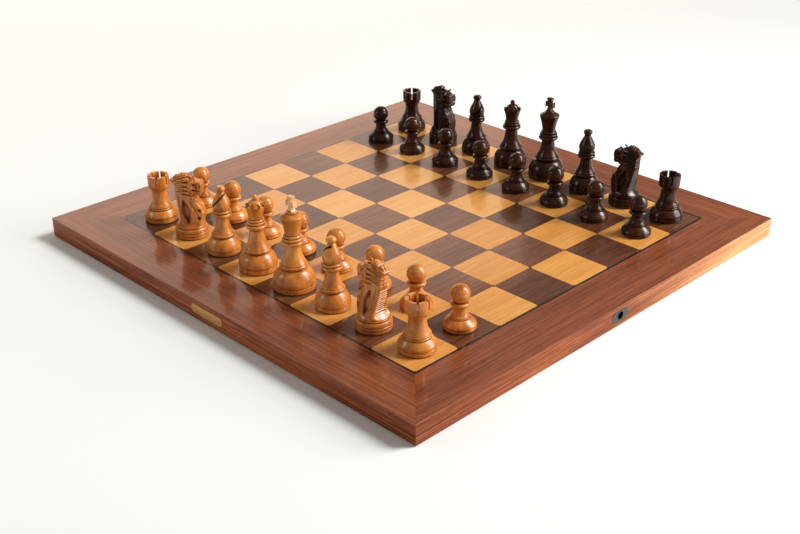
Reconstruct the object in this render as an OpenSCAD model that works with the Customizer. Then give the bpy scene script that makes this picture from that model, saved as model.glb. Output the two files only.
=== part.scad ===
// Electronic chess computer: a veneered sensor board with 81 light windows and a set of 32 weighted,
// electronically tagged chessmen. The origin is the centre of the board's footprint, on the surface that it
// stands on. +Z is up, files a to h run along +X, ranks 1 to 8 along +Y, and white sits at -Y.

/* [Board] */
// Side of one square
square = 55; // [50:1:60]
// Width of the veneered border around the field
border_w = 55; // [45:1:70]
// Total height of the board, feet included
board_h = 22; // [20:1:30]
// Width of the dark line around the field
line_w = 2.5; // [1:0.5:4]
// Thickness of the veneer on the playing surface
veneer_t = 0.6; // [0.5:0.1:1]
// Thickness of the solid wood edge
rail_t = 18; // [14:1:24]
// Diameter of one light window
window_d = 3; // [2:0.5:4]

/* [Feet and base] */
// Diameter of a felt foot
foot_d = 24; // [12:1:40]
// Height of a felt foot
foot_h = 1; // [0.5:0.5:3]
// Thickness of the bottom panel
bottom_t = 3; // [2:0.5:4]

/* [Socket and nameplate] */
// Inner diameter of the socket
socket_d = 8; // [6:0.5:9]
// Length of the oval plate around the socket
plate_l = 24.5; // [20:0.5:30]
// Height of the oval plate around the socket
plate_h = 12.3; // [11.5:0.1:13]
// Length of the nameplate
name_l = 48; // [30:1:80]
// Height of the nameplate
name_h = 9.5; // [6:0.5:12]

/* [Chessmen] */
// Height of the king, cross included
king_h = 95; // [85:1:105]
// Smoothness of the turned shapes
turn_fn = 72; // [32:8:96]

/* [Hidden] */
FILES = ["a", "b", "c", "d", "e", "f", "g", "h"];
KINDS = ["rook", "knight", "bishop", "queen", "king", "bishop", "knight", "rook"];
SIDES = ["front", "right", "back", "left"];
function man_name(side, f) = (KINDS[f] == "king" || KINDS[f] == "queen")
    ? str(side, "_", KINDS[f]) : str(side, "_", KINDS[f], "_", FILES[f], side == "white" ? 1 : 8);
function pawn_name(side, f) = str(side, "_pawn_", FILES[f], side == "white" ? 2 : 7);

walnut = "saddlebrown";
maple = "burlywood";
boxwood = "peru";
ebonised = "#2e1810";

field = 8 * square;               // side of the playing field
half = field / 2 + border_w;      // half the side of the board
rail_top = board_h - veneer_t;    // top of the rails and of the top panel
mid_z = (foot_h + board_h) / 2;   // middle of the board's edge
rebate = 10;                      // width of the step that a panel lies on
top_t = 4.4;                      // thickness of the top panel
cavity_z0 = foot_h + bottom_t;
cavity_z1 = rail_top - top_t;
gap = 0.05;                       // clearance around a fitted piece
screw_r = 1.5;
screw_head_r = 3;
screw_l = 13;
screw_inset = rail_t - rebate / 2;       // from the board's side to the screws
screw_at = [-0.8, -0.27, 0.27, 0.8] * half;  // along each side
socket_wall = 1;                         // thickness of the socket's shell
plug_x = half - 14;                      // inner end of the socket's shell
pcb_t = 1.6;
pcb_seam = 6;                     // seam between the sensor boards, clear of LEDs and coils
coil_r = 17;
coil_w = 4;
control_x = half - 95;            // middle of the controller board
control_z = cavity_z0 + 3;

// A strip of one side of a square frame, mitred at 45 degrees; the strip lies at -Y
module mitred_strip(inner, outer, z0, z1) {
    translate([0, 0, z0]) linear_extrude(z1 - z0)
        polygon([[-outer, -outer], [outer, -outer], [inner, -inner], [-inner, -inner]]);
}
// A bar with round ends, centred, its thickness along +Z
module oval(l, w, t) {
    linear_extrude(t) union() {
        square([l - w, w], center = true);
        for (s = [-1, 1]) translate([s * (l - w) / 2, 0]) circle(d = w, $fn = 48);
    }
}
// The corners of all 64 squares
module at_corners() {
    for (i = [-4:4], j = [-4:4]) translate([i * square, j * square]) children();
}
// The middles of all 64 squares
module at_squares() {
    for (i = [0:7], j = [0:7]) translate([(i - 3.5) * square, (j - 3.5) * square]) children();
}
// The screw places along one side, at -Y
module at_screws() {
    for (x = screw_at) translate([x, screw_inset - half]) children();
}

module edge_rail(k) {
    color(walnut) rotate(90 * k) difference() {
        union() {
            mitred_strip(half - rail_t + rebate, half, foot_h, cavity_z0);
            mitred_strip(half - rail_t, half, cavity_z0, cavity_z1);
            mitred_strip(half - rail_t + rebate, half, cavity_z1, rail_top);
        }
        at_screws() translate([0, 0, cavity_z0 - 1])
            cylinder(r = screw_r + gap, h = screw_l - bottom_t + 1.5, $fn = 24);
        if (k == 0) translate([0, 0.6 - half, mid_z]) rotate([90, 0, 0])
            oval(name_l + 2 * gap, name_h + 2 * gap, 2);
        if (k == 1) {
            translate([0, 0.8 - half, mid_z]) rotate([90, 0, 0])
                oval(plate_l + 2 * gap, plate_h + 2 * gap, 2);
            translate([0, -half, mid_z]) rotate([-90, 0, 0])
                cylinder(r = socket_d / 2 + socket_wall + 0.55, h = rail_t + 1, $fn = 48);
        }
    }
}

module top_panel() {
    w = half - rail_t + rebate;
    color("tan") difference() {
        translate([-w, -w, cavity_z1]) cube([2 * w, 2 * w, top_t]);
        at_corners() {
            translate([0, 0, cavity_z1 - 1]) cylinder(d = window_d + 2 * gap, h = top_t + 2, $fn = 24);
            translate([0, 0, cavity_z1 - 1]) cylinder(d = window_d + 1.5, h = 2, $fn = 24);
        }
    }
}

module border_veneer(k) {
    color(walnut) rotate(90 * k) mitred_strip(field / 2 + line_w, half, rail_top, board_h);
}

module inlay_line() {
    w = field + 2 * line_w;
    color("#2a2422") difference() {
        translate([-w / 2, -w / 2, rail_top]) cube([w, w, veneer_t]);
        translate([-field / 2, -field / 2, rail_top - 1]) cube([field, field, veneer_t + 2]);
        at_corners() translate([0, 0, rail_top - 1]) cylinder(d = window_d + 2 * gap, h = 3, $fn = 24);
    }
}

// The 32 squares of one colour; a1 is dark
module squares(dark) {
    for (i = [0:7], j = [0:7]) if (((i + j) % 2 == 0) == dark)
        translate([(i - 4) * square, (j - 4) * square, rail_top]) difference() {
            cube([square, square, veneer_t]);
            for (x = [0, square], y = [0, square]) translate([x, y, -1])
                cylinder(d = window_d + 2 * gap, h = 3, $fn = 24);
        }
}

module light_guides() {
    color("#6b4630") at_corners() translate([0, 0, cavity_z1 + 1])
        cylinder(d = window_d, h = board_h - cavity_z1 - 1, $fn = 24);
}

module leds() {
    color("white") at_corners() translate([-1, -0.6, cavity_z1]) cube([2, 1.2, 0.8]);
}

// Four boards, whose seams pass beside the LEDs
module sensor_boards() {
    edge = field / 2 + 4;
    color("darkgreen") for (x = [[-edge, pcb_seam - 0.5], [pcb_seam + 0.5, edge]],
                            y = [[-edge, pcb_seam - 0.5], [pcb_seam + 0.5, edge]])
        translate([x[0], y[0], cavity_z1 - pcb_t]) cube([x[1] - x[0], y[1] - y[0], pcb_t]);
}

module sensor_coils() {
    color("chocolate") at_squares() translate([0, 0, cavity_z1 - pcb_t - 0.6]) difference() {
        cylinder(r = coil_r, h = 0.6, $fn = 48);
        translate([0, 0, -1]) cylinder(r = coil_r - coil_w, h = 3, $fn = 48);
    }
}

module controller_board() {
    color("darkgreen") translate([control_x - 45, -38, control_z]) cube([90, 76, pcb_t]);
}

// Processor, memory and interface chips
module controller_chips() {
    color("#222222") translate([control_x, 0, control_z + pcb_t]) {
        translate([-10, -10, 0]) cube([20, 20, 1.4]);
        translate([-34, -8, 0]) cube([12, 18, 1.2]);
        for (y = [-22, 14]) translate([18, y, 0]) cube([14, 8, 1.2]);
    }
}

// Flat cable from a sensor board down to the controller board
module ribbon_cable() {
    z0 = control_z + pcb_t;
    z1 = cavity_z1 - pcb_t;
    x0 = control_x - 40;
    color("lightgray") translate([0, -square / 2, 0]) rotate([90, 0, 0]) linear_extrude(16, center = true)
        polygon([[x0, z0], [x0 + 4, z0], [x0 + 4, z0 + 0.8], [x0 - 7.2, z0 + 0.8], [x0 - 7.2, z1],
                 [x0 - 8, z1], [x0 - 8, z0], [x0, z0]]);
}

// Black body that holds the metal shell, with its solder tails
module socket_housing() {
    r = socket_d / 2 + socket_wall + gap;
    color("#151515") translate([0, 0, mid_z]) {
        difference() {
            union() {
                translate([half - rail_t - 8, 0, 0]) rotate([0, 90, 0])
                    cylinder(r = r + 0.4, h = rail_t + 6, $fn = 48);
                translate([half - rail_t - 8, -8, -5.4]) cube([7.8, 16, 10.8]);
            }
            translate([plug_x - gap, 0, 0]) rotate([0, 90, 0]) cylinder(r = r, h = 20, $fn = 48);
        }
        for (y = [-4.5, -1.5, 1.5, 4.5]) translate([half - rail_t - 12, y - 0.3, -1]) cube([4, 0.6, 0.3]);
    }
}

module socket_plate() {
    color("#101010") translate([half - 0.8, 0, mid_z]) rotate([90, 0, 90]) difference() {
        oval(plate_l, plate_h, 1.1);
        translate([0, 0, -1]) cylinder(r = socket_d / 2 + socket_wall + gap, h = 4, $fn = 48);
    }
}

module socket_shell() {
    color("#303030") translate([plug_x, 0, mid_z]) rotate([0, 90, 0]) difference() {
        cylinder(r = socket_d / 2 + socket_wall, h = half + 0.5 - plug_x, $fn = 48);
        translate([0, 0, 1]) cylinder(d = socket_d, h = 20, $fn = 48);
    }
}

module nameplate() {
    color("goldenrod") translate([0, 0.6 - half, mid_z]) rotate([90, 0, 0]) oval(name_l, name_h, 1);
}

// Bottom panel, with four glued blocks under the controller board
module bottom_panel() {
    w = half - rail_t + rebate;
    color("#3a3230") difference() {
        union() {
            translate([-w, -w, foot_h]) cube([2 * w, 2 * w, bottom_t]);
            for (x = [-40, 36], y = [-36, 32])
                translate([control_x + x, y, cavity_z0]) cube([4, 4, control_z - cavity_z0]);
        }
        for (k = [0:3]) rotate(90 * k) at_screws() {
            translate([0, 0, foot_h - 1]) cylinder(r = screw_r + gap, h = bottom_t + 2, $fn = 24);
            translate([0, 0, foot_h - 0.1])
                cylinder(r1 = screw_head_r + 0.2, r2 = screw_r + gap, h = 1.7, $fn = 24);
        }
    }
}

// Countersunk screws, four along each side
module base_screws() {
    color("silver") for (k = [0:3]) rotate(90 * k) at_screws() {
        translate([0, 0, foot_h + 0.1]) cylinder(r1 = screw_head_r, r2 = screw_r, h = 1.5, $fn = 24);
        translate([0, 0, foot_h + 1.6]) cylinder(r = screw_r, h = screw_l - 1.6, $fn = 24);
    }
}

module feet() {
    color("#303030") for (x = [-1, 1], y = [-1, 1]) translate([x * (half - 30), y * (half - 30), 0])
        cylinder(d = foot_d, h = foot_h, $fn = 48);
}

// Outlines of the turned chessmen, as [radius, height above the playing surface].
// A half-round ring of outer radius r, from height z0 to z1
function bead(r, z0, z1) = [for (i = [0:4]) let (h = (z1 - z0) / 2, a = 45 * i - 90)
    [r - h + h * cos(a), z0 + h + h * sin(a)]];
// A smooth stretch from p to q that leaves p towards c
function sweep(p, c, q) = [for (i = [0:5]) let (t = i / 5, u = 1 - t) u * u * p + 2 * t * u * c + t * t * q];
// Part of a ball of radius r at height z, from angle a0 to a1
function ball(r, z, a0, a1) = [for (i = [0:8]) let (a = a0 + (a1 - a0) * i / 8) [r * cos(a), z + r * sin(a)]];

felt_t = 0.8;    // felt pad under a chessman
tag_t = 1.2;     // tag coil above the felt
weight_t = 3.4;  // steel weight above the tag
bore_wall = 5;   // wood around the bore that holds them
// The foot that all chessmen share: a plinth, a groove and a second step
function base(r, h) = [[r - 0.4, felt_t], [r, felt_t + 0.5], [r, h - 0.3], [r - 0.7, h], [r, h + 0.4]];

pawn_r = 15.6;
pawn_profile = concat(base(pawn_r, 3.6), sweep([15.7, 4.6], [14.9, 7.2], [10, 10.8]), bead(9.4, 11.1, 12.5),
    bead(9, 12.6, 13.8), sweep([7.8, 14.2], [5.6, 17.5], [6.1, 22.6]), bead(9.2, 23, 26.6),
    ball(9.3, 34.4, -54, 90));
rook_r = 17.6;
rook_profile = concat(base(rook_r, 5.4), sweep([17.6, 7.6], [15.6, 11.4], [13.2, 13.6]), bead(13, 13.9, 15.9),
    bead(12.6, 16, 18), sweep([11.6, 18.6], [8.2, 23], [8.2, 33]), [[8.5, 35.2], [11.1, 38.6], [11.3, 40],
    [11.3, 51], [8, 51], [8, 42.2], [0, 42.2]]);
bishop_r = 17.2;
bishop_profile = concat(base(bishop_r, 5), sweep([17.1, 6.4], [16.4, 12.5], [11.6, 17.2]),
    bead(12.1, 18, 21.6), sweep([10.6, 21.8], [6.6, 28], [6, 38.8]), bead(9.9, 39.4, 43.4),
    bead(9.3, 43.6, 46.4),
    sweep([7.8, 46.6], [10.6, 52.5], [7, 58.4]), sweep([7, 58.4], [4.6, 62.8], [3.4, 66]),
    bead(5, 66.2, 71.6), [[0, 71.6]]);
queen_r = 19.2;
queen_profile = concat(base(queen_r, 6), sweep([19.2, 8.6], [18.4, 14.5], [13.2, 18.6]), bead(13.4, 19.8, 24),
    sweep([12.3, 24], [7.4, 31], [7, 43.8]), bead(10.6, 44.6, 49.2), bead(9, 49.3, 52), bead(8.3, 52.1, 54.6),
    sweep([7.1, 55], [7.4, 61], [10.1, 68]), [[10.1, 69], [8.8, 69.2]], ball(8.2, 66.6, 20, 66),
    ball(2.8, 76.6, -50, 90));
king_r = 20.9;
crown_z = 80;    // top of the king's crown, where the cross stands
king_profile = concat(base(king_r, 6.4), sweep([20.8, 9.4], [19.8, 16], [14.2, 20.8]), bead(13.8, 22, 26.4),
    sweep([12.7, 26.6], [7.6, 34], [7.2, 46]), bead(11, 46.4, 50.4), bead(10.2, 50.5, 53.4),
    bead(8.9, 53.5, 56.2), sweep([7.4, 56.6], [7.8, 64], [11, 73.4]), [[11.2, 74.6]],
    sweep([11, 75.4], [7.6, 77.8], [5.2, 78.4]), [[5.2, crown_z], [0, crown_z]]);
cross_t = 5;     // thickness of the king's cross
knight_r = 17.4;
knight_profile = concat(base(knight_r, 3.8), [[17.4, 6.2], [16.8, 6.6], [17.2, 7.2]],
    sweep([17.2, 7.2], [17.2, 10.4], [15.6, 11.2]), bead(15.4, 11.4, 13.4), [[14.6, 13.8], [0, 13.8]]);
// Side view of the knight's neck and head, as [forward, up], and half its width at heights
knight_side = [[14.5, 13], [16.4, 19], [16.2, 28], [9, 38], [4.5, 44], [9, 45.6], [14, 47], [16.4, 50],
    [16.6, 56], [14.6, 59.6], [8, 64.4], [4, 67], [-2, 67.8], [-6, 70], [-11, 69.4], [-16, 65.5], [-18.6, 60],
    [-17.4, 56], [-16.6, 46], [-14.6, 36], [-12, 24], [-13.6, 13]];
knight_half = [[11.8, 13], [11.2, 22], [9, 34], [7.8, 44], [7.4, 56], [5.4, 70.5]];

// A turned body with a bore in its foot for the weight and the tag
module turned(profile, r) {
    difference() {
        rotate_extrude($fn = turn_fn)
            polygon(concat([[0, felt_t]], profile, [[0, profile[len(profile) - 1][1]]]));
        cylinder(r = r - bore_wall, h = felt_t + tag_t + weight_t + 3 * gap, $fn = 48);
    }
}
// Felt pad, tag coil and steel weight, one above the other
module base_fittings(r) {
    cylinder(r = r - 0.6, h = felt_t - gap, $fn = 64);
    translate([0, 0, felt_t + gap]) cylinder(r = r - bore_wall - gap, h = tag_t, $fn = 48);
    translate([0, 0, felt_t + tag_t + 2 * gap]) cylinder(r = r - bore_wall - gap, h = weight_t, $fn = 48);
}
module pawn() {
    turned(pawn_profile, pawn_r);
    base_fittings(pawn_r);
}
module rook() {
    difference() {
        turned(rook_profile, rook_r);
        for (a = [0, 60, 120]) rotate(a + 15) translate([-20, -1, 42.2]) cube([40, 2, 20]);
    }
    base_fittings(rook_r);
}
module bishop() {
    difference() {
        turned(bishop_profile, bishop_r);
        translate([3, -12, 56]) rotate([0, -50, 0]) cube([1.3, 24, 16]);
    }
    base_fittings(bishop_r);
}
module queen() {
    difference() {
        turned(queen_profile, queen_r);
        for (i = [0:8]) rotate(40 * i) translate([10.6, 0, 71]) rotate([0, 60, 0])
            cylinder(r = 2.4, h = 8, center = true, $fn = 24);
    }
    base_fittings(queen_r);
}
module king() {
    turned(king_profile, king_r);
    base_fittings(king_r);
}
module knight() {
    turned(knight_profile, knight_r);
    intersection() {
        rotate([90, 0, 0]) linear_extrude(40, center = true) polygon(knight_side);
        rotate([90, 0, 90]) linear_extrude(60, center = true)
            polygon(concat(knight_half, [for (i = [5:-1:0]) [-knight_half[i][0], knight_half[i][1]]]));
    }
    base_fittings(knight_r);
}
// Flared cross that stands on the king's crown
module king_cross() {
    h = king_h - crown_z;
    w = 0.68 * h;
    rotate([90, 0, 0]) linear_extrude(cross_t, center = true) translate([0, crown_z + h / 2]) union() {
        circle(r = 2.2, $fn = 24);
        for (l = [[0, h], [90, w]]) rotate(l[0])
            polygon([[-3.4, -l[1] / 2], [3.4, -l[1] / 2], [1.6, 0], [3.2, l[1] / 2], [-3.2, l[1] / 2],
                     [-1.6, 0]]);
    }
}

// The knights of a side face each other; the one on b1 stands a little turned
function knight_turn(side, f) = side == "white" ? (f < 4 ? 38 : 180) : (f < 4 ? 0 : 180);
// How far the men of a side stand off the middles of their squares, as if set up by hand
function off_middle(side) = side == "white" ? [2.5, 1] : [1, 2];
module man(side, kind, f) {
    if (kind == "pawn") pawn();
    if (kind == "rook") rook();
    if (kind == "knight") rotate(knight_turn(side, f)) knight();
    if (kind == "bishop") bishop();
    if (kind == "queen") queen();
    if (kind == "king") king();
}
// A chessman on its square; rank 0 is the first
module stand(side, kind, f, rank) {
    color(side == "white" ? boxwood : ebonised)
        translate([(f - 3.5) * square, (rank - 3.5) * square, board_h])
            translate(off_middle(side)) man(side, kind, f);
}
module cross(side) {
    color(side == "white" ? "burlywood" : ebonised)
        translate([0.5 * square, (side == "white" ? -3.5 : 3.5) * square, board_h])
            translate(off_middle(side)) king_cross();
}

top_panel();
for (k = [0:3]) {
    edge_rail(k);
    border_veneer(k);
}
inlay_line();
color(maple) squares(false);  // light_squares
color(walnut) squares(true);  // dark_squares
light_guides();
leds();
sensor_boards();
sensor_coils();
controller_board();
controller_chips();
ribbon_cable();
socket_housing();
socket_plate();
socket_shell();
nameplate();
bottom_panel();
base_screws();
feet();
for (side = ["white", "black"], f = [0:7]) {
    stand(side, KINDS[f], f, side == "white" ? 0 : 7);
    stand(side, "pawn", f, side == "white" ? 1 : 6);
}
cross("white");  // white_king_cross
cross("black");  // black_king_cross
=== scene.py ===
"""Looks of the electronic chess computer: a veneered sensor board and 32 turned and carved chessmen."""
import math

import bmesh
import bpy
import numpy as np
from mathutils import Matrix, Vector

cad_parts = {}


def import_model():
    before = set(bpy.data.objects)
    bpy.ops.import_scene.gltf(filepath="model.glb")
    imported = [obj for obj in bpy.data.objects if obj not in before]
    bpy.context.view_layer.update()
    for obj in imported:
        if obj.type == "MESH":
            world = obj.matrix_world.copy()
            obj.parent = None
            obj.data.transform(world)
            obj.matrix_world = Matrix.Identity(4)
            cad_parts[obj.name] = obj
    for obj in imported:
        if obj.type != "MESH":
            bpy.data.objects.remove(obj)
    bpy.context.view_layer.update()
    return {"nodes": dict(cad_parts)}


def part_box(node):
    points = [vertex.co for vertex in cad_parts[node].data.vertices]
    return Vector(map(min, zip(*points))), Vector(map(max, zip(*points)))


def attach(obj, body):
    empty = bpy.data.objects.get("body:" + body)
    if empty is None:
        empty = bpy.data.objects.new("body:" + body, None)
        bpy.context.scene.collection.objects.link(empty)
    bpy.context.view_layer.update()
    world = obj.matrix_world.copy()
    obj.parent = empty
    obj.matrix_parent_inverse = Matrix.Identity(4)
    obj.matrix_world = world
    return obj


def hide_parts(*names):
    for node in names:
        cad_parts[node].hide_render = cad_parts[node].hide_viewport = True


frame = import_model()

MM = 0.001
SHARP = 35                # degrees between faces above which an edge is sharp
FILES = "abcdefgh"
KINDS = ["rook", "knight", "bishop", "queen", "king", "bishop", "knight", "rook"]

squares_lo, squares_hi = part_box("dark_squares")
BOARD_TOP = squares_hi.z
SQUARE = (squares_hi.x - squares_lo.x) / 8


# ---------------------------------------------------------------- outlines and meshes

def arc(cr, cz, radius, a0, a1, steps=10):
    """Points of a round stretch about (cr, cz), angles in degrees from the horizontal."""
    angles = np.radians(np.linspace(a0, a1, steps + 1))
    return [(cr + radius * math.cos(a), cz + radius * math.sin(a)) for a in angles]


def bead(r, z0, z1):
    """A half-round ring whose outermost radius is r, from height z0 to z1."""
    h = (z1 - z0) / 2
    return arc(r - h, z0 + h, h, -90, 90, 12)


def sweep(p, c, q, steps=14):
    """A smooth stretch from p to q that leaves p towards c."""
    p, c, q = np.array(p), np.array(c), np.array(q)
    ts = np.linspace(0, 1, steps + 1)
    return [tuple((1 - t) ** 2 * p + 2 * t * (1 - t) * c + t * t * q) for t in ts]


def rounded(points, radius=0.22):
    """The outline with its sharp corners turned into small rounds."""
    out = [points[0]]
    for before, here, after in zip(points, points[1:], points[2:]):
        a, b, c = (np.array(v, float) for v in (before, here, after))
        u, v = a - b, c - b
        lu, lv = np.linalg.norm(u), np.linalg.norm(v)
        if lu < 1e-6 or lv < 1e-6:
            continue
        bend = math.degrees(math.acos(max(-1, min(1, -u.dot(v) / lu / lv))))
        if bend < 22 or here[0] < 0.01:
            out.append(here)
            continue
        cut = min(radius, 0.45 * lu, 0.45 * lv)
        p, q = b + u / lu * cut, b + v / lv * cut
        out += sweep(p, b, q, 3)
    return out + [points[-1]]


def mesh_from(name, verts, faces, sharp=SHARP):
    """A smooth shaded mesh whose edges over the angle sharp stay crisp."""
    mesh = bpy.data.meshes.new(name)
    mesh.from_pydata([tuple(v) for v in verts], [], [tuple(f) for f in faces])
    mesh.update()
    mesh.shade_smooth()
    mesh.set_sharp_from_angle(angle=math.radians(sharp))
    return mesh


def hollows(ring, reach=1.1):
    """How far each point of a turned outline lies in a groove, 0 to 1, from the wood around it."""
    p = np.array(ring)
    gap = np.hypot(*(p[:, None, :] - p[None, :, :]).transpose(2, 0, 1))
    near = np.exp(-(gap / reach) ** 2)
    length = np.hypot(*(np.roll(p, -1, 0) - np.roll(p, 1, 0)).T)
    mean = (near * length) @ p / (near @ length)[:, None]
    edge = np.roll(p, -1, 0) - np.roll(p, 1, 0)
    normal = np.stack([edge[:, 1], -edge[:, 0]], 1) / np.maximum(np.hypot(*edge.T), 1e-6)[:, None]
    return np.clip(((mean - p) * normal).sum(1) / 0.22, 0, 1)


def mark_hollows(mesh, values):
    """Stores the hollows, which the wood's material darkens: partly stain that gathers there, partly painted
    shade.
    """
    mesh.attributes.new("hollow", "FLOAT", "POINT").data.foreach_set("value", np.asarray(values, np.float32))


def lathe(name, outline, segments=96):
    """A closed turned mesh from an outline of (radius, height) in mm, whose two ends are on the axis."""
    ring = [p for p in rounded(outline) if p[0] > 0.01]
    hollow = hollows(ring)
    turns = np.linspace(0, 2 * math.pi, segments, endpoint=False)
    verts = [(r * math.cos(a) * MM, r * math.sin(a) * MM, z * MM) for r, z in ring for a in turns]
    low, high = len(verts), len(verts) + 1
    verts += [(0, 0, outline[0][1] * MM), (0, 0, outline[-1][1] * MM)]
    faces = []
    for i in range(len(ring) - 1):
        for j in range(segments):
            k = (j + 1) % segments
            below, above = i * segments, (i + 1) * segments
            faces.append((below + j, below + k, above + k, above + j))
    last = (len(ring) - 1) * segments
    for j in range(segments):
        k = (j + 1) % segments
        faces.append((low, k, j))
        faces.append((high, last + j, last + k))
    mesh = mesh_from(name, verts, faces)
    mark_hollows(mesh, np.append(np.repeat(hollow, segments), (0, 0)))
    return mesh


def box_mesh(name, size, place, turn=(0, 0, 0)):
    """A cutter: a box of the given size in mm, turned and then placed."""
    bm = bmesh.new()
    bmesh.ops.create_cube(bm, size=1)
    bmesh.ops.scale(bm, vec=Vector(size) * MM, verts=bm.verts)
    for axis, angle in zip("XYZ", turn):
        bmesh.ops.rotate(bm, matrix=Matrix.Rotation(math.radians(angle), 3, axis), verts=bm.verts)
    bmesh.ops.translate(bm, vec=Vector(place) * MM, verts=bm.verts)
    mesh = bpy.data.meshes.new(name)
    bm.to_mesh(mesh)
    bm.free()
    return mesh


def carve(mesh, cutters):
    """mesh less each cutter."""
    body = bpy.data.objects.new("work", mesh)
    bpy.context.scene.collection.objects.link(body)
    tools = []
    for cutter in cutters:
        tool = bpy.data.objects.new("cutter", cutter)
        bpy.context.scene.collection.objects.link(tool)
        mod = body.modifiers.new("cut", "BOOLEAN")
        mod.operation, mod.solver, mod.object = "DIFFERENCE", "EXACT", tool
        tools.append(tool)
    graph = bpy.context.evaluated_depsgraph_get()
    out = bpy.data.meshes.new_from_object(body.evaluated_get(graph))
    for o in [body] + tools:
        bpy.data.objects.remove(o)
    out.shade_smooth()
    out.set_sharp_from_angle(angle=math.radians(SHARP))
    return out


# ---------------------------------------------------------------- sculpting

def spline(points, steps=6):
    """A closed smooth curve through given points."""
    p = np.array(points, float)
    out = []
    for i in range(len(p)):
        a, b, c, d = p[i - 1], p[i], p[(i + 1) % len(p)], p[(i + 2) % len(p)]
        for t in np.arange(steps) / steps:
            out.append(0.5 * (2 * b + (c - a) * t + (2 * a - 5 * b + 4 * c - d) * t ** 2
                              + (3 * b - a - 3 * c + d) * t ** 3))
    return np.array(out)


def outline_distance(curve, x, y):
    """Signed distance from each (x, y) to a closed curve, negative inside."""
    best = np.full(x.shape, 1e9)
    inside = np.zeros(x.shape, bool)
    for a, b in zip(curve, np.roll(curve, -1, 0)):
        e = b - a
        t = np.clip(((x - a[0]) * e[0] + (y - a[1]) * e[1]) / e.dot(e), 0, 1)
        best = np.minimum(best, np.hypot(x - a[0] - t * e[0], y - a[1] - t * e[1]))
        crosses = (a[1] > y) != (b[1] > y)
        with np.errstate(divide="ignore", invalid="ignore"):
            inside ^= crosses & (x < (b[0] - a[0]) * (y - a[1]) / (b[1] - a[1]) + a[0])
    return np.where(inside, -best, best)


def blend_min(a, b, k):
    """The lower of two distances, with a fillet about k wide where they meet."""
    h = np.clip(0.5 + 0.5 * (b - a) / k, 0, 1)
    return b + (a - b) * h - k * h * (1 - h)


def blend_max(a, b, k):
    return -blend_min(-a, -b, k)


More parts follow.
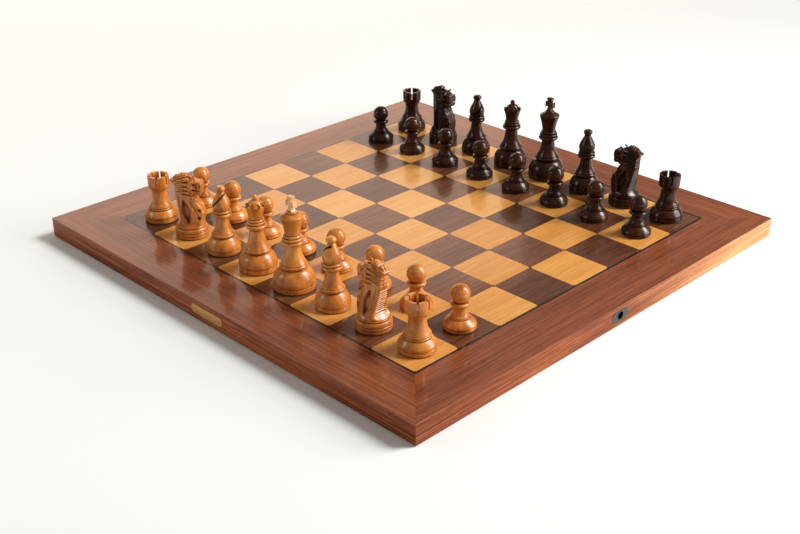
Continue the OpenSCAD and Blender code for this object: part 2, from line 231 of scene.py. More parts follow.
class Block:
    """A grid of distances in mm in which a shape is built up and cut away, then turned into a mesh."""

    def __init__(self, low, high, step):
        self.low, self.step = np.array(low, float), step
        axes = [np.arange(a, b + step, step) for a, b in zip(low, high)]
        self.u, self.v, self.z = np.meshgrid(*axes, indexing="ij")
        self.side = np.abs(self.v)
        self.field = None

    def ball(self, centre, radii, tilt=0.0, mirrored=True):
        """Distance to an ellipsoid tilted in the side plane; mirrored puts one on each side."""
        v = self.side if mirrored else self.v
        du, dv, dz = self.u - centre[0], v - centre[1], self.z - centre[2]
        c, s = math.cos(math.radians(tilt)), math.sin(math.radians(tilt))
        du, dz = du * c + dz * s, -du * s + dz * c
        k0 = np.sqrt((du / radii[0]) ** 2 + (dv / radii[1]) ** 2 + (dz / radii[2]) ** 2)
        k1 = np.sqrt((du / radii[0] ** 2) ** 2 + (dv / radii[1] ** 2) ** 2 + (dz / radii[2] ** 2) ** 2)
        return k0 * (k0 - 1) / np.maximum(k1, 1e-6)

    def rod(self, a, b, ra, rb, mirrored=True):
        """Distance to a tapered round rod from a to b."""
        v = self.side if mirrored else self.v
        a, b = np.array(a, float), np.array(b, float)
        e = b - a
        pu, pv, pz = self.u - a[0], v - a[1], self.z - a[2]
        t = np.clip((pu * e[0] + pv * e[1] + pz * e[2]) / e.dot(e), 0, 1)
        far = np.sqrt((pu - t * e[0]) ** 2 + (pv - t * e[1]) ** 2 + (pz - t * e[2]) ** 2)
        return far - (ra + (rb - ra) * t)

    def join(self, d, k=1.0):
        self.field = blend_min(self.field, d, k)

    def cut(self, d, k=0.6):
        self.field = blend_max(self.field, -d, k)

    def hollows(self, verts, reach=1.2):
        """How deep each vertex lies below the smoothed shape, 0 to 1."""
        soft, n = self.field.clip(-3, 3), max(1, round(reach / self.step))
        for axis in range(3):
            for _ in range(2):
                soft = sum(np.roll(soft, k, axis) for k in range(-n, n + 1)) / (2 * n + 1)
        cell = ((verts - self.low) / self.step).round().astype(int)
        cell = np.minimum(cell, np.array(soft.shape) - 1)
        return np.clip((-soft[tuple(cell.T)] + self.field[tuple(cell.T)] - 0.06) / 0.45, 0, 1)

    def mesh_data(self):
        """Vertices and quads of the surface where the field is zero (surface nets)."""
        f = self.field
        inside = f < 0
        n = np.array(f.shape) - 1
        corners = [(i, j, k) for i in (0, 1) for j in (0, 1) for k in (0, 1)]
        pick = lambda a, c: a[c[0]:c[0] + n[0], c[1]:c[1] + n[1], c[2]:c[2] + n[2]]
        total = sum(pick(inside, c).astype(int) for c in corners)
        cells = (total > 0) & (total < 8)
        number = -np.ones(cells.shape, int)
        number[cells] = np.arange(cells.sum())
        sums, counts = np.zeros((cells.sum(), 3)), np.zeros(cells.sum())
        for a in corners:
            for axis in range(3):
                if a[axis]:
                    continue
                b = list(a)
                b[axis] = 1
                fa, fb = pick(f, a)[cells], pick(f, b)[cells]
                hit = (fa < 0) != (fb < 0)
                t = fa[hit] / (fa[hit] - fb[hit])
                point = np.repeat(np.array([a], float), hit.sum(), 0)
                point[:, axis] = t
                sums[hit] += point
                counts[hit] += 1
        verts = self.low + self.step * (np.argwhere(cells) + sums / counts[:, None])
        quads = []
        for axis in range(3):
            b, c = [(1, 2), (2, 0), (0, 1)][axis]
            size = [slice(None)] * 3
            lo, hi = list(size), list(size)
            lo[axis], hi[axis] = slice(0, -1), slice(1, None)
            first, second = inside[tuple(lo)], inside[tuple(hi)]
            for where, flip in ((first & ~second, False), (~first & second, True)):
                at = np.argwhere(where)
                at = at[(at[:, b] > 0) & (at[:, c] > 0) & (at[:, b] < n[b]) & (at[:, c] < n[c])]
                ring = []
                for db, dc in ((-1, -1), (0, -1), (0, 0), (-1, 0)):
                    cell = at.copy()
                    cell[:, b] += db
                    cell[:, c] += dc
                    ring.append(number[tuple(cell.T)])
                ring = np.stack(ring, 1)
                quads.append(ring[:, ::-1] if flip else ring)
        return verts, np.concatenate(quads)


# The knight's outline from the side, in mm: up the chest, round the head and down the back
KNIGHT_SIDE = [
    (13.8, 12.4), (14.8, 17), (15.4, 22), (15.7, 27), (15.2, 28.6), (12.8, 33), (10.2, 38), (7.8, 42.6),
    (6.2, 45.6), (7, 47.2), (9.6, 47.4), (12.4, 46.8), (13.9, 48.2), (14.7, 51.6), (15, 56), (14.8, 60),
    (13.4, 61.8), (11, 61.5), (8.2, 62.2), (5.4, 63.6), (2.8, 64.2), (0.6, 64.9), (-1.0, 67.6), (-2.6, 69.3),
    (-6.4, 69.2), (-10, 67.2), (-13.6, 64.6), (-17.8, 62.6), (-16.8, 60.4), (-14.6, 58.4), (-14, 52),
    (-13.6, 46), (-12.8, 39), (-11.2, 32), (-9.8, 26), (-9.0, 21.5), (-9.9, 17.6), (-12.8, 14.2),
    (-13.6, 12.4)]
# Half its thickness at each height
KNIGHT_HALF = [(12, 12.6), (18, 11.8), (26, 10.4), (34, 9), (42, 7.9), (48, 7.7), (58, 7.5), (62, 6.6),
               (66, 4.9), (69.5, 3.4)]
# How far back its spine lies at each height
KNIGHT_SPINE = [(12, -13.6), (18, -9.7), (21.5, -9.0), (26, -9.8), (32, -11.2), (39, -12.8), (46, -13.6),
                (52, -14)]
NECK_FOOT = 12.8          # where the carving starts above its turned foot


def stroke(u, z, points, width, depth):
    """A groove in the side plane along a chain of points: depth there, fading to 0 over width.

    Both may be (from, to)."""
    w0, w1 = width if isinstance(width, tuple) else (width, width)
    d0, d1 = depth if isinstance(depth, tuple) else (depth, depth)
    out = np.zeros(u.shape)
    n = len(points) - 1
    for k in range(n):
        a, b = np.array(points[k], float), np.array(points[k + 1], float)
        e = b - a
        t = np.clip(((u - a[0]) * e[0] + (z - a[1]) * e[1]) / e.dot(e), 0, 1)
        far = np.hypot(u - a[0] - t * e[0], z - a[1] - t * e[1])
        along_it = (k + t) / n
        w, d = w0 + (w1 - w0) * along_it, d0 + (d1 - d0) * along_it
        out = np.maximum(out, d * np.clip(1 - (far / w) ** 2, 0, 1))
    return out


def leaf(u, z, centre, half_l, half_w, tilt):
    """Relative distance from the middle of a pointed leaf standing in the side plane: 1 at its edge."""
    c, s = math.cos(math.radians(tilt)), math.sin(math.radians(tilt))
    du, dz = u - centre[0], z - centre[1]
    across, up = du * c + dz * s, -du * s + dz * c
    reach = np.abs(up) / half_l
    return np.abs(across) / np.maximum(half_w * (1 - np.clip(reach, 0, 1) ** 1.7), 0.05), reach


def sculpt_knight(step=0.4):
    """Neck and head of the knight above its turned foot, facing +X."""
    b = Block((-20.5, -15.4, 12.4), (17.6, 15.4, 71.0), step)
    u, z, side = b.u, b.z, b.side
    u2, z2 = u[:, :1, :], z[:, :1, :]
    plane = outline_distance(spline(KNIGHT_SIDE), u2[:, 0, :], z2[:, 0, :])[:, None, :]
    width = np.interp(z2, *zip(*KNIGHT_HALF))
    head = np.clip((z2 - 45) / 3, 0, 1)
    rear = np.clip((-u2 - 5) / 9, 0, 1)
    front = np.clip((u2 - 5) / 10, 0, 1)
    width = width - (width - 4.9) * rear * np.clip((z2 - 14) / 6, 0, 1)
    width = (width - 1.6 * head * np.exp(-((u2 - 9.4) / 3.0) ** 2) - 1.3 * head * front
             - 3.4 * (1 - head) * front)
    r = 1.3
    p, q = plane + r, side - width + r
    b.field = np.minimum(np.maximum(p, q), 0) + np.hypot(np.maximum(p, 0), np.maximum(q, 0)) - r
    # a flare down to the turned foot, and nothing wider than the foot
    out = np.hypot(u, side)
    flare = np.interp(z, [12, 13.4, 15, 18, 22, 40], [14.6, 14.2, 12.6, 9, 3, -30])
    b.field = blend_min(b.field, out - flare, 2.2)
    b.field = blend_max(b.field, out - np.interp(z, [12, 14, 20, 28, 32], [14.7, 14.8, 15.6, 17, 30]), 1.0)
    # cheek, brow, nose and lips
    b.join(b.ball((2.6, 4.8, 54.2), (4.6, 3.6, 5.4)), 1.4)
    b.join(b.rod((3.6, 5.8, 61.2), (9.0, 5.0, 61.0), 1.1, 0.9), 1.0)
    b.join(b.ball((12.4, 3.9, 56.6), (2.6, 2.2, 3.2)), 1.2)
    b.join(b.rod((9.0, 4.4, 54.2), (13.8, 3.6, 53.6), 1.4, 1.3), 0.8)
    b.join(b.rod((9.2, 4.2, 49.2), (13.2, 3.2, 48.4), 1.5, 1.4), 0.8)
    b.join(b.ball((7.0, 6.2, 59.0), (2.3, 0.9, 2.2)), 0.6)
    # ears, forelock and tuft
    b.join(b.rod((3.6, 4.2, 62.6), (7.6, 4.4, 66.6), 1.8, 0.6), 0.7)
    b.join(b.rod((-1.0, 0, 66.4), (7.6, 0, 62.6), 1.5, 0.8, False), 0.6)
    b.join(b.rod((-12.4, 1.6, 65.2), (-17.0, 1.9, 62.2), 1.8, 0.9), 0.6)
    # strands of the mane: deep where they leave the cheek, shallow at the back
    strokes = []
    for k in range(4):
        top = 52.2 + 4.5 * k
        strokes += [([(0.4, top), (-5, top - 0.4), (-13.5, top - 3.6)], (1.05, 0.7), (2.1, 0.8)),
                    ([(-3.4, top + 1.9), (-14, top - 1.2)], (0.75, 0.6), (1.2, 0.6)),
                    ([(-6.4, top - 1.6), (-14.4, top - 4.6)], (0.6, 0.5), (0.9, 0.5)),
                    ([(-10.4 + 3 * k, 70.4), (-4.6 + 2.2 * k, 65.4 - 0.4 * k)], (0.9, 0.6), (1.3, 0.7))]
    for k in range(3):
        strokes.append(([(2.2 + 1.9 * k, 66.4 - 0.8 * k), (3.4 + 1.9 * k, 62.6 - 0.5 * k)], 0.55, 1.0))
    for k in range(2):
        strokes.append(([(-19, 62.2 + 1.7 * k), (-14, 64.2 + 1.4 * k)], 0.5, (0.9, 0.4)))
    # edge from the jaw down to the throat, and paired cuts on the throat
    strokes.append(([(-4.6, 48.4), (1.0, 47.6), (6.4, 46.2)], 0.8, 1.2))
    for a, c in (((4.2, 43.6), (7.6, 37.8)), ((5.8, 43.8), (8.8, 38.8)), ((8.6, 43.4), (9.8, 38.2)),
                 ((9.8, 42.6), (10.8, 37.4))):
        strokes.append(([a, c], 0.5, 1.1))
    cuts = np.zeros(u2.shape)
    for points, spread, depth in strokes:
        cuts = np.maximum(cuts, stroke(u2, z2, points, spread, depth))
    b.field = b.field + cuts * np.clip((side - 0.4) / 1.0, 0.35, 1)
    # eyes, nostrils and mouth
    b.cut(b.ball((7.0, 7.4, 59.0), (1.45, 3.4, 1.45)), 0.25)
    b.cut(b.ball((6.2, 7.6, 52.6), (1.25, 3.6, 1.2)), 0.25)
    b.cut(b.ball((13.2, 6.4, 56.8), (0.9, 2.0, 0.8)), 0.3)
    mouth = 51.7 + 0.5 * np.sin((u2 - 6) * 0.9)
    b.cut(np.maximum(np.abs(z2 - mouth) - 0.42, 6.0 - u2) + 0 * side, 0.3)
    b.field = b.field + stroke(u2, z2, [(8.6, 59.2), (10.4, 55.4), (9.4, 53.6)], 0.7, 0.6) * (side > 1)
    # leaf-shaped gouge with a raised rim on each flank, and two shallow flutes beside it
    for centre, half_l, half_w, tilt, depth, rim in (((-1.6, 30), 13.4, 4.3, 12, 3.4, 0.9),
                                                     ((6.8, 32.4), 9.6, 1.5, 24, 0.6, 0.2),
                                                     ((-8.4, 33), 13, 1.3, 6, 0.5, 0.2)):
        across, up = leaf(u2, z2, centre, half_l, half_w, tilt)
        inside = np.clip(1 - across ** 2, 0, 1) ** 0.6 * (up < 1)
        edge = np.exp(-((across - 1.25) / 0.28) ** 2) * (up < 1.04)
        flank = np.clip((side - 3) / 2, 0, 1)
        b.field = b.field + (depth * inside - rim * edge * (across > 0.9)) * flank
    # round scoops with rims on the shoulders
    b.join(b.ball((10.0, 5.6, 31.6), (4.1, 2.9, 4.1)), 0.4)
    b.cut(b.ball((11.8, 8.6, 30.2), (2.7, 2.9, 2.2), -15), 0.2)
    b.join(b.ball((10.4, 6.6, 21.2), (3.3, 3.0, 3.5)), 0.5)
    b.cut(b.ball((11.4, 9.4, 22.4), (2.2, 2.8, 2.4)), 0.2)
    # notched strip down the back, and crossed cuts low on one flank
    spine = np.interp(z2, *zip(*KNIGHT_SPINE))
    near = (np.clip((spine + 2.4 - u) / 0.8, 0, 1) * np.clip((z - 18) / 1.5, 0, 1)
            * np.clip((44.5 - z) / 1.5, 0, 1))
    b.field = b.field + 0.85 * near * (0.5 + 0.5 * np.cos(z * 2 * math.pi / 2.35)) ** 2.2 * (side < 5.6)
    hatch = np.clip(1 - np.hypot((u + 9.6) / 3.2, (z - 20) / 5.5) ** 4, 0, 1) * (b.v > 4)
    for way in (-1, 1):
        wave = 0.5 + 0.5 * np.cos((u * way + z) * 2 * math.pi / 2.3)
        b.field = b.field + 0.35 * hatch * wave ** 2
    b.field = np.maximum(b.field, NECK_FOOT - z)
    verts, quads = b.mesh_data()
    return verts, quads, b.hollows(verts)


# ---------------------------------------------------------------- chessmen

FELT = 0.8                # underside of a man's wood, in mm above the board


def foot(r, h):
    """Underside, plinth, groove and second step of a chessman's foot."""
    return [(0, FELT), (r - 0.4, FELT), (r, FELT + 0.5), (r, h - 0.3), (r - 0.7, h), (r - 0.7, h + 0.2),
            (r, h + 0.5)]


def pawn():
    r = 15.6
    return lathe("pawn", foot(r, 3.6) + sweep((15.7, 4.6), (14.9, 7.2), (10, 10.8)) + bead(9.4, 11.1, 12.5)
                 + bead(9, 12.6, 13.8) + sweep((7.8, 14.2), (5.6, 17.5), (6.1, 22.6)) + bead(9.2, 23, 26.6)
                 + arc(0, 34.4, 9.3, -54, 90, 24)), r


def rook():
    r = 17.6
    body = lathe("rook", foot(r, 5.4) + sweep((17.6, 7.6), (15.6, 11.4), (13.2, 13.6)) + bead(13, 13.9, 15.9)
                 + bead(12.6, 16, 18) + sweep((11.6, 18.6), (8.2, 23), (8.2, 33))
                 + [(8.5, 35.2), (11.1, 38.6), (11.3, 40), (11.3, 51), (8, 51), (8, 42.2), (0, 42.2)])
    slots = [box_mesh("slot", (40, 2, 18), (0, 0, 51.2), (0, 0, 60 * i + 15)) for i in range(3)]
    return carve(body, slots), r


def bishop():
    r = 17.2
    body = lathe("bishop", foot(r, 5) + sweep((17.1, 6.4), (16.4, 12.5), (11.6, 17.2)) + bead(12.1, 18, 21.6)
                 + sweep((10.6, 21.8), (6.6, 28), (6, 38.8)) + bead(9.9, 39.4, 43.4) + bead(9.3, 43.6, 46.4)
                 + sweep((7.8, 46.6), (10.6, 52.5), (7, 58.4)) + sweep((7, 58.4), (4.6, 62.8), (3.4, 66))
                 + bead(5, 66.2, 71.6) + [(0, 71.6)])
    middle = 59.6         # height of the saw cut, which rises to one side at 45 degrees
    cut = carve(body, [box_mesh("slit", (15, 24, 1.5), (8, 0, middle), (45, 0, 0))])
    # The faces inside the saw cut get the full painted shade, which darkens the slit as if it lay in shadow.
    for v in cut.vertices:
        x, y, z = v.co / MM
        if x > 0 and 48 < z < 66 and abs(z - middle - y) < 1.3:
            cut.attributes["hollow"].data[v.index].value = 1
    return cut, r


def queen():
    r = 19.2
    body = lathe("queen", foot(r, 6) + sweep((19.2, 8.6), (18.4, 14.5), (13.2, 18.6)) + bead(13.4, 19.8, 24)
                 + sweep((12.3, 24), (7.4, 31), (7, 43.8)) + bead(10.6, 44.6, 49.2) + bead(9, 49.3, 52)
                 + bead(8.3, 52.1, 54.6) + sweep((7.1, 55), (7.4, 61), (10.1, 68)) + [(10.1, 69), (8.8, 69.2)]
                 + arc(0, 66.6, 8.2, 20, 66, 10) + arc(0, 76.6, 2.8, -50, 90, 16))
    points, scoop = 9, 2.4
    cutters = []
    for i in range(points):
        bm = bmesh.new()
        bmesh.ops.create_cone(bm, cap_ends=True, segments=24, radius1=scoop * MM, radius2=scoop * MM,
                              depth=9 * MM)
        bmesh.ops.rotate(bm, matrix=Matrix.Rotation(math.radians(60), 3, "Y"), verts=bm.verts)
        bmesh.ops.translate(bm, vec=(10.6 * MM, 0, 71 * MM), verts=bm.verts)
        bmesh.ops.rotate(bm, matrix=Matrix.Rotation(math.radians(360 / points * i), 3, "Z"), verts=bm.verts)
        cutter = bpy.data.meshes.new("scallop")
        bm.to_mesh(cutter)
        bm.free()
        cutters.append(cutter)
    return carve(body, cutters), r


def king():
    r = 20.9
    return lathe("king", foot(r, 6.4) + sweep((20.8, 9.4), (19.8, 16), (14.2, 20.8)) + bead(13.8, 22, 26.4)
                 + sweep((12.7, 26.6), (7.6, 34), (7.2, 46)) + bead(11, 46.4, 50.4) + bead(10.2, 50.5, 53.4)
                 + bead(8.9, 53.5, 56.2) + sweep((7.4, 56.6), (7.8, 64), (11, 73.4)) + [(11.2, 74.6)]
                 + sweep((11, 75.4), (7.6, 77.8), (5.2, 78.4)) + [(5.2, 80), (0, 80)]), r


def knight():
    """A turned foot with the carved neck and head standing in it."""
    r = 17.4
    body = lathe("knight", foot(r, 3.8) + [(17.4, 6.2), (16.8, 6.6), (17.2, 7.2)]
                 + sweep((17.2, 7.2), (17.2, 10.4), (15.6, 11.2)) + bead(15.4, 11.4, 13.4)
                 + [(14.6, 13.8), (0, 13.8)])
    verts, quads, hollow = sculpt_knight()
    carved = mesh_from("carved", verts * MM, quads.tolist(), 60)
    mark_hollows(carved, hollow)
    bm = bmesh.new()
    bm.from_mesh(body)
    bm.from_mesh(carved)
    out = bpy.data.meshes.new("knight")
    bm.to_mesh(out)
    bm.free()
    return out, r


def cross_mesh():
    """The flared cross of a king, in mm about its own foot at height 80."""
    h, half = 15.0, 2.5
    w = 0.68 * h
    mid = 80 + h / 2
    def arm(length, turn):
        pts = [(-1.6, 0)] + sweep((-1.7, 1.8), (-2.0, length * 0.34), (-3.4, length / 2), 6)
        pts += [(-x, y) for x, y in reversed(pts)]
        c, s = math.cos(turn), math.sin(turn)
        return [(x * c - y * s, x * s + y * c) for x, y in pts]
    outline = []
    for length, turn in ((h, 0), (w, -math.pi / 2), (h, math.pi), (w, math.pi / 2)):
        outline += arm(length, turn)[1:-1]
    n = len(outline)
    verts = [(x * MM, s * half * MM, (mid + y) * MM) for s in (-1, 1) for x, y in outline]
    faces = [tuple(range(n)), tuple(range(2 * n - 1, n - 1, -1))]
    faces += [(i, i + n, (i + 1) % n + n, (i + 1) % n) for i in range(n)]
    bm = bmesh.new()
    tmp = mesh_from("cross", verts, faces, 40)
    bm.from_mesh(tmp)
    bmesh.ops.recalc_face_normals(bm, faces=bm.faces)
    out = bpy.data.meshes.new("cross")
    bm.to_mesh(out)
    bm.free()
    out.shade_smooth()
    out.set_sharp_from_angle(angle=math.radians(40))
    return out


# ---------------------------------------------------------------- materials

def srgb(r, g, b):
    """A display colour, 0 to 255, as linear values."""
    def linear(c):
        c /= 255
        return c / 12.92 if c <= 0.04045 else ((c + 0.055) / 1.055) ** 2.4
    return (linear(r), linear(g), linear(b), 1)


class Shader:
    """A material's node tree with short calls for its nodes."""

    def __init__(self, name, **sockets):
        self.material = bpy.data.materials.new(name)
        self.material.use_nodes = True
        self.tree = self.material.node_tree
        self.tree.nodes.clear()
        self.out = self.tree.nodes.new("ShaderNodeOutputMaterial")
        self.bsdf = self.tree.nodes.new("ShaderNodeBsdfPrincipled")
        self.tree.links.new(self.bsdf.outputs[0], self.out.inputs[0])
        self.set(self.bsdf, sockets)

    def set(self, node, sockets):
        """Links or sets inputs given by number, or by name with _ for a space."""
        for key, value in sockets.items():
            socket = node.inputs[key.replace("_", " ") if isinstance(key, str) else key]
            if isinstance(value, bpy.types.NodeSocket):
                self.tree.links.new(value, socket)
            else:
                socket.default_value = value

    def node(self, kind, props=None, **sockets):
        n = self.tree.nodes.new("ShaderNode" + kind)
        for key, value in (props or {}).items():
            setattr(n, key, value)
        self.set(n, sockets)
        return n

    def math(self, op, a, b=0.0, c=0.0):
        n = self.tree.nodes.new("ShaderNodeMath")
        n.operation = op
        self.set(n, {0: a, 1: b, 2: c})
        return n.outputs[0]

    def vector(self, op, a, b=(0, 0, 0)):
        n = self.tree.nodes.new("ShaderNodeVectorMath")
        n.operation = op
        self.set(n, {0: a, 1: b})
        return n.outputs[0]

    def coords(self):
        """Object coordinates in mm."""
        place = self.node("TexCoord").outputs["Object"]
        return self.vector("MULTIPLY", place, (1000, 1000, 1000))

    def noise(self, vector, scale=1.0, detail=2.0, roughness=0.5, distortion=0.0):
        n = self.node("TexNoise", Vector=vector, Scale=scale, Detail=detail, Roughness=roughness,
                      Distortion=distortion)
        return n.outputs[0]

    def ramp(self, value, stops):
        n = self.node("ValToRGB", Fac=value)
        points = n.color_ramp.elements
        while len(points) < len(stops):
            points.new(0.5)
        for point, (place, colour) in zip(points, stops):
            point.position = place
            point.color = colour if isinstance(colour, tuple) else (colour, colour, colour, 1)
        return n.outputs[0]

    def mix(self, fac, a, b, mode="MIX"):
        n = self.tree.nodes.new("ShaderNodeMix")
        n.data_type, n.blend_type = "RGBA", mode
        self.set(n, {0: fac, 6: a, 7: b})
        return n.outputs[2]

    def range(self, value, a, b, c, d):
        n = self.node("MapRange", Value=value, From_Min=a, From_Max=b, To_Min=c, To_Max=d)
        return n.outputs[0]

    def bump(self, height, strength, distance=0.0002):
        n = self.node("Bump", Strength=strength, Distance=distance, Height=height)
        self.tree.links.new(n.outputs[0], self.bsdf.inputs["Normal"])

    def paint(self, **sockets):
        self.set(self.bsdf, sockets)
        return self.material


def along(shader, place, axis, stretch, spread=1.0):
    """Coordinates squeezed along the grain, so that what they drive is long that way."""
    scale = [spread, spread, spread]
    scale[axis] = spread / stretch
    return shader.vector("MULTIPLY", place, tuple(scale))


def veneer(name, tones, axis, per_square=0.0, roughness=0.36, coat=0.5, gloss=0.3, painted_far_sheen=None, pore=0.5,
           figure=1.0, shift=(0, 0, 0)):
    """Lacquered veneer or solid wood: figure, fibres and pores along an axis.

    tones are dark, middle and light; per_square gives each square its own tone; the optional pair of tones is a
    painted sheen, darker and paler, that the wood is blended into towards its far end."""
    s = Shader(name, Coat_Weight=coat, Coat_Roughness=0.09, IOR=1.45, Specular_IOR_Level=gloss)
    place = s.vector("ADD", s.coords(), shift)
    value_shift = 0.0
    if per_square:
        cell = s.vector("FLOOR", s.vector("DIVIDE", s.coords(), (SQUARE / MM, SQUARE / MM, 1e6)))
        cell = s.vector("ADD", cell, (0.5, 0.5, 0.5))
        white = s.node("TexWhiteNoise", {"noise_dimensions": "3D"}, Vector=cell)
        place = s.vector("ADD", place, s.vector("MULTIPLY", white.outputs["Color"], (400, 400, 0)))
        value_shift = s.math("MULTIPLY_ADD", white.outputs["Value"], per_square, -per_square / 2)
    broad = s.noise(along(s, place, axis, 16, 0.07), 1, 2, 0.5, 0.5)
    rings = s.noise(along(s, place, axis, 70, 0.62), 1, 3, 0.6, 0.25)
    fibre = s.noise(along(s, place, axis, 34, 1.3), 1, 3, 0.6)
    pores = s.noise(along(s, place, axis, 14, 2.2), 1, 2, 0.5)
    mixed = s.math("ADD", s.math("MULTIPLY", broad, 0.24 * figure),
                   s.math("MULTIPLY", rings, 0.4 * figure))
    mixed = s.math("ADD", mixed, s.math("MULTIPLY", fibre, 0.36))
    mixed = s.math("ADD", mixed, 0.32 * (1 - figure))
    if per_square:
        mixed = s.math("ADD", mixed, value_shift)
    dark, middle, light = tones
    colour = s.ramp(mixed, [(0.39, dark), (0.5, middle), (0.61, light)])
    pits = s.range(pores, 0.6, 0.72, 0.0, pore)
    colour = s.mix(pits, colour, tuple(c * 0.42 for c in dark[:3]) + (1,))
    # Painted sheen: the wood is blended into a paler pair of tones towards its far end, where the lit edge
    # looks brighter.
    if painted_far_sheen:
        reach = s.node("SeparateXYZ", Vector=s.coords()).outputs[axis]
        share = s.range(s.math("ADD", reach, s.math("MULTIPLY_ADD", broad, 160, -80)), -30, 200, 0, 0.7)
        colour = s.mix(share, colour, s.mix(s.range(mixed, 0.4, 0.6, 0, 1), painted_far_sheen[0], painted_far_sheen[1]))
    rough = s.math("MULTIPLY_ADD", fibre, 0.14, roughness - 0.07)
    height = s.math("SUBTRACT", s.math("MULTIPLY", fibre, 0.3), pits)
    s.bump(height, 0.12, 0.0001)
    return s.paint(Base_Color=colour, Roughness=rough)


def turned_wood(name, tones, stain_and_shade, roughness, coat, gloss=0.5, rings=0.5):
    """Polished turned wood: figure up the piece, fine lathe rings round it, and stain plus painted shade in its
    grooves and cuts.

    Each piece has a tone of its own."""
    s = Shader(name, Coat_Weight=coat, Coat_Roughness=0.14, IOR=1.5, Specular_IOR_Level=gloss)
    own = s.node("ObjectInfo").outputs["Random"]
    offset = s.node("CombineXYZ", X=s.math("MULTIPLY", own, 431.0), Y=s.math("MULTIPLY", own, 173.0), Z=own)
    place = s.vector("ADD", s.coords(), offset.outputs[0])
    broad = s.noise(along(s, place, 2, 4, 0.1), 1, 2, 0.5, 0.5)
    lines = s.noise(along(s, place, 2, 16, 1.1), 1, 3, 0.6, 0.3)
    value = s.math("ADD", s.math("MULTIPLY", broad, 0.6), s.math("MULTIPLY", lines, 0.4))
    value = s.math("ADD", value, s.math("MULTIPLY_ADD", own, 0.08, -0.04))
    dark, middle, light = tones
    colour = s.ramp(value, [(0.36, dark), (0.5, middle), (0.66, light)])
    hollow = s.node("Attribute", {"attribute_name": "hollow", "attribute_type": "GEOMETRY"}).outputs["Fac"]
    # Grooves and cuts are darkened towards the third colour: partly real stain, partly painted shade standing
    # in for their shadow.
    colour = s.mix(s.range(hollow, 0.15, 0.9, 0, 0.85), colour, stain_and_shade)
    flat = s.vector("MULTIPLY", s.coords(), (0.02, 0.02, 1))
    tool = s.noise(flat, 2.6, 3, 0.7)
    rough = s.math("MULTIPLY_ADD", lines, 0.12, roughness - 0.06)
    height = s.math("ADD", s.math("MULTIPLY", tool, rings), s.math("MULTIPLY", lines, 0.25))
    s.bump(height, 0.22, 0.00012)
    return s.paint(Base_Color=colour, Roughness=rough)


def plain(name, colour, roughness, metallic=0.0, grain=0.06, scale=3.0, **sockets):
    """Moulded, printed or drawn material with a fine mottle."""
    s = Shader(name, Metallic=metallic, **sockets)
    mottle = s.noise(s.coords(), scale, 4, 0.6)
    deep = tuple(c * (1 - grain * 2) for c in colour[:3]) + (1,)
    tint = s.mix(s.range(mottle, 0.3, 0.7, 0, 1), deep, colour)
    s.bump(mottle, 0.08, 0.0001)
    return s.paint(Base_Color=tint, Roughness=s.math("MULTIPLY_ADD", mottle, 0.16, roughness - 0.08))


def felt_material():
    s = Shader("felt", Sheen_Weight=0.4, Sheen_Roughness=0.5)
    fuzz = s.noise(s.coords(), 5.0, 6, 0.75)
    colour = s.ramp(fuzz, [(0.3, srgb(14, 12, 11)), (0.7, srgb(46, 40, 36))])
    s.bump(fuzz, 0.6, 0.0003)
    return s.paint(Base_Color=colour, Roughness=0.95)


WALNUT = (srgb(98, 46, 24), srgb(128, 67, 38), srgb(156, 88, 54))
SQUARE_WALNUT = (srgb(68, 37, 20), srgb(98, 56, 33), srgb(134, 81, 52))
EDGE = (srgb(98, 42, 20), srgb(142, 72, 38), srgb(186, 108, 62))
# Painted sheen: the paler tones that the right edge is blended into towards the back.
PAINTED_FAR_SHEEN = (srgb(206, 126, 72), srgb(246, 190, 132))
MAPLE = (srgb(204, 134, 58), srgb(220, 155, 76), srgb(232, 172, 98))
BOX = (srgb(172, 92, 28), srgb(208, 126, 46), srgb(230, 156, 72))
PALE = (srgb(200, 146, 86), srgb(226, 176, 116), srgb(240, 200, 146))
EBONY = (srgb(28, 10, 4), srgb(52, 22, 9), srgb(84, 40, 18))

# The third colour of each wood is the stain and painted shade that darken its grooves and cuts.
boxwood = turned_wood("boxwood", BOX, srgb(112, 48, 12), 0.32, 0.3)
pale_boxwood = turned_wood("pale_boxwood", PALE, srgb(150, 80, 36), 0.32, 0.4)
ebonised = turned_wood("ebonised", EBONY, srgb(8, 3, 2), 0.26, 0.2, 0.25, 0.3)
felt = felt_material()
WOODS = {"white": boxwood, "black": ebonised}

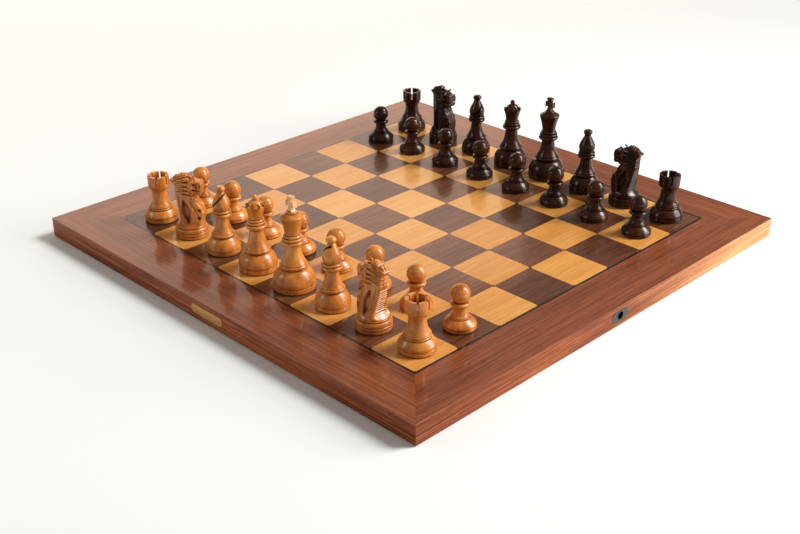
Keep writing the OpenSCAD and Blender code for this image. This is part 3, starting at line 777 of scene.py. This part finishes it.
NODE_MATERIALS = {
    "light_squares": veneer("maple", MAPLE, 1, per_square=0.16, pore=0.1, figure=0.7),
    "dark_squares": veneer("walnut_squares", SQUARE_WALNUT, 1, per_square=0.16, pore=0.6),
    "inlay_line": veneer("black_line", (srgb(16, 14, 13), srgb(24, 21, 20), srgb(34, 30, 28)), 1, pore=0.2),
    "light_guides": plain("light_window", srgb(52, 30, 20), 0.2, Coat_Weight=0.6),
    "leds": plain("led", srgb(238, 234, 214), 0.3),
    "sensor_boards": plain("circuit_board", srgb(18, 92, 48), 0.35, scale=1.2),
    "controller_board": plain("circuit_board_2", srgb(18, 92, 48), 0.35, scale=1.2),
    "sensor_coils": plain("copper", srgb(196, 116, 70), 0.3, metallic=1.0),
    "controller_chips": plain("chip", srgb(34, 34, 36), 0.5),
    "ribbon_cable": plain("cable", srgb(170, 172, 176), 0.5),
    "socket_housing": plain("black_plastic", srgb(20, 20, 21), 0.45),
    "socket_plate": plain("gloss_black", srgb(7, 7, 8), 0.14, Coat_Weight=0.5),
    "socket_shell": plain("dark_metal", srgb(40, 38, 38), 0.2, metallic=0.7, Coat_Weight=0.6),
    "nameplate": plain("brass_plate", srgb(222, 172, 104), 0.34, metallic=0.85, grain=0.1),
    "bottom_panel": veneer("base_board", (srgb(34, 28, 25), srgb(44, 37, 33), srgb(54, 46, 41)), 0, pore=0.1),
    "base_screws": plain("steel", srgb(176, 178, 182), 0.3, metallic=1.0),
    "feet": felt,
    "top_panel": veneer("plywood", (srgb(176, 134, 92), srgb(196, 156, 112), srgb(214, 178, 134)), 0),
}
# Each side's wood comes from another place in the grain; the right edge gets a painted sheen, paler towards the
# back
for side, axis, place in (("front", 0, 0), ("back", 0, 634), ("left", 1, 951), ("right", 1, 317)):
    shift = (place, 0, 0)
    NODE_MATERIALS["border_veneer_" + side] = veneer("border_" + side, WALNUT, axis, shift=shift)
    NODE_MATERIALS["edge_rail_" + side] = veneer("edge_" + side, EDGE, axis, shift=shift, coat=0.12, gloss=0.15,
                                                 figure=1.15, painted_far_sheen=PAINTED_FAR_SHEEN if side == "right" else None)

for name, material in NODE_MATERIALS.items():
    cad = frame["nodes"][name]
    cad.data.materials.clear()
    cad.data.materials.append(material)

# The rails' and borders' sharp edges are broken a little
for name in [n for n in NODE_MATERIALS if n.startswith(("edge_rail", "border_veneer"))]:
    bevel = frame["nodes"][name].modifiers.new("arris", "BEVEL")
    bevel.width, bevel.segments, bevel.limit_method = 0.3 * MM, 2, "ANGLE"
    bevel.angle_limit = math.radians(40)


# ---------------------------------------------------------------- setting up the set

BUILDERS = {"pawn": pawn, "rook": rook, "knight": knight, "bishop": bishop, "queen": queen, "king": king}


def add(name, mesh, place, turn, material, body):
    """A piece of that mesh, placed, turned about its own axis by degrees, and riding on a body."""
    mesh.materials.clear()
    mesh.materials.append(material)
    piece = bpy.data.objects.new(name, mesh)
    piece.location, piece.rotation_euler = place, (0, 0, math.radians(turn))
    bpy.context.scene.collection.objects.link(piece)
    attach(piece, body)
    return piece


def felt_mesh(r):
    """A felt disc with a soft edge, under a foot of radius r in mm."""
    inner = r - 0.9
    return lathe("felt", [(0, 0.02), (inner, 0.02)] + arc(inner, 0.38, 0.34, -80, 80, 6) + [(0, 0.74)], 64)


# How the knights and bishops are turned, by side and file, in degrees
TURNS = {("white", 1): 38, ("white", 6): 180, ("black", 1): 0, ("black", 6): 180,
         ("white", 2): -50, ("white", 5): -122, ("black", 2): 4, ("black", 5): 130}


def turn_of(side, kind, i):
    """How each man is turned on its square, in degrees."""
    if kind in ("knight", "bishop"):
        return TURNS[side, i]
    return 0 if kind in ("king", "rook") else (i * 47 + (side == "black") * 113) % 360


def mirrored(mesh):
    """The same mesh, left and right exchanged."""
    other = mesh.copy()
    other.transform(Matrix.Diagonal((1, -1, 1, 1)))
    other.flip_normals()
    return other


# Each side's own rank, its pawns' rank, and how far its men stand off the middles of their squares in mm
SIDES = (("white", 0, 1, (2.5, 1)), ("black", 7, 6, (1, 2)))


def set_up():
    """Puts every man's wood and felt on its square, on the body that the CAD gave it."""
    for side, home, front, off in SIDES:
        for kind in BUILDERS:
            mesh, r = BUILDERS[kind]()
            mesh.name = f"{side}_{kind}"
            other = mirrored(mesh) if kind == "knight" else mesh
            pad = felt_mesh(r)
            for i in range(8):
                if kind != "pawn" and KINDS[i] != kind:
                    continue
                rank = front if kind == "pawn" else home
                node = f"{side}_{kind}"
                if kind not in ("king", "queen"):
                    node += f"_{FILES[i]}{rank + 1}"
                body = node + "_body"
                place = ((i - 3.5) * SQUARE + off[0] * MM, (rank - 3.5) * SQUARE + off[1] * MM, BOARD_TOP)
                man = add(node + "_wood", mesh if i < 4 else other, place, turn_of(side, kind, i),
                          WOODS[side], body)
                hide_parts(node)
                add(node + "_felt", pad, place, 0, felt, body)
                if kind == "king":
                    wood, slot = (pale_boxwood, "pale_boxwood") if side == "white" else (ebonised, "ebonised")
                    cross = add(node + "_cross_wood", cross_mesh(), place, 0, wood, body)
                    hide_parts(node + "_cross")
                    round_off = cross.modifiers.new("round", "BEVEL")
                    round_off.width, round_off.segments = 0.7 * MM, 3


set_up()


# ---------------------------------------------------------------- stage, light and camera

def stage():
    """A plain pale floor."""
    bm = bmesh.new()
    bmesh.ops.create_grid(bm, x_segments=2, y_segments=2, size=6)
    mesh = bpy.data.meshes.new("floor")
    bm.to_mesh(mesh)
    bm.free()
    s = Shader("floor_white", IOR=1.3, Specular_IOR_Level=0.2)
    mesh.materials.append(s.paint(Base_Color=(0.95, 0.98, 1, 1), Roughness=0.9))
    floor = bpy.data.objects.new("floor", mesh)
    bpy.context.scene.collection.objects.link(floor)


def light(name, place, target, size, power, colour):
    """A rectangular soft lamp at place that faces target."""
    data = bpy.data.lights.new(name, "AREA")
    data.shape, data.size, data.size_y = "RECTANGLE", size[0], size[1]
    data.energy, data.color = power, colour
    lamp = bpy.data.objects.new(name, data)
    lamp.location = place
    lamp.rotation_euler = (Vector(target) - Vector(place)).to_track_quat("-Z", "Y").to_euler()
    bpy.context.scene.collection.objects.link(lamp)


def sun(name, toward, width, strength, colour):
    """A distant soft lamp; toward points from the board to it and width is its size in degrees."""
    data = bpy.data.lights.new(name, "SUN")
    data.angle, data.energy, data.color = math.radians(width), strength, colour
    lamp = bpy.data.objects.new(name, data)
    lamp.rotation_euler = (-Vector(toward)).to_track_quat("-Z", "Y").to_euler()
    bpy.context.scene.collection.objects.link(lamp)


def world():
    """Dim warm surroundings, so that the lacquer reflects little but the lamps."""
    w = bpy.data.worlds.new("studio")
    bpy.context.scene.world = w
    w.use_nodes = True
    w.node_tree.nodes["Background"].inputs[0].default_value = (1, 0.94, 0.88, 1)
    w.node_tree.nodes["Background"].inputs[1].default_value = 0.22


def camera():
    """Above white's right-hand corner, level, looking a little past the middle of the board."""
    azimuth, elevation, distance = math.radians(45.03), math.radians(27.2), 1.194
    target = Vector((0.0729, -0.0909, BOARD_TOP))
    back = Vector((math.sin(azimuth) * math.cos(elevation), -math.cos(azimuth) * math.cos(elevation),
                   math.sin(elevation)))
    data = bpy.data.cameras.new("camera")
    data.sensor_width, data.lens = 36, 54.0
    data.clip_start, data.clip_end = 0.01, 50
    cam = bpy.data.objects.new("camera", data)
    cam.location = target + back * distance
    cam.rotation_euler = (-back).to_track_quat("-Z", "Y").to_euler()
    bpy.context.scene.collection.objects.link(cam)
    bpy.context.scene.camera = cam


stage()
world()
sun("overhead", (0.5, 0.7, 0.85), 22, 2.55, (0.99, 0.98, 0.95))
light("right_key", (0.80, 0.62, 0.42), (0.1, 0, 0.03), (0.6, 0.5), 8.2, (1, 0.93, 0.84))
light("left_fill", (-0.9, -1.3, 0.8), (0, 0, 0.02), (0.5, 0.5), 3.4, (1, 0.88, 0.76))
light("back_glow", (-1.7, 0.95, 0.64), (0, 0, 0.02), (1.75, 1.0), 8.6, (1, 0.74, 0.58))
camera()
bpy.context.scene.view_settings.view_transform = "Standard"
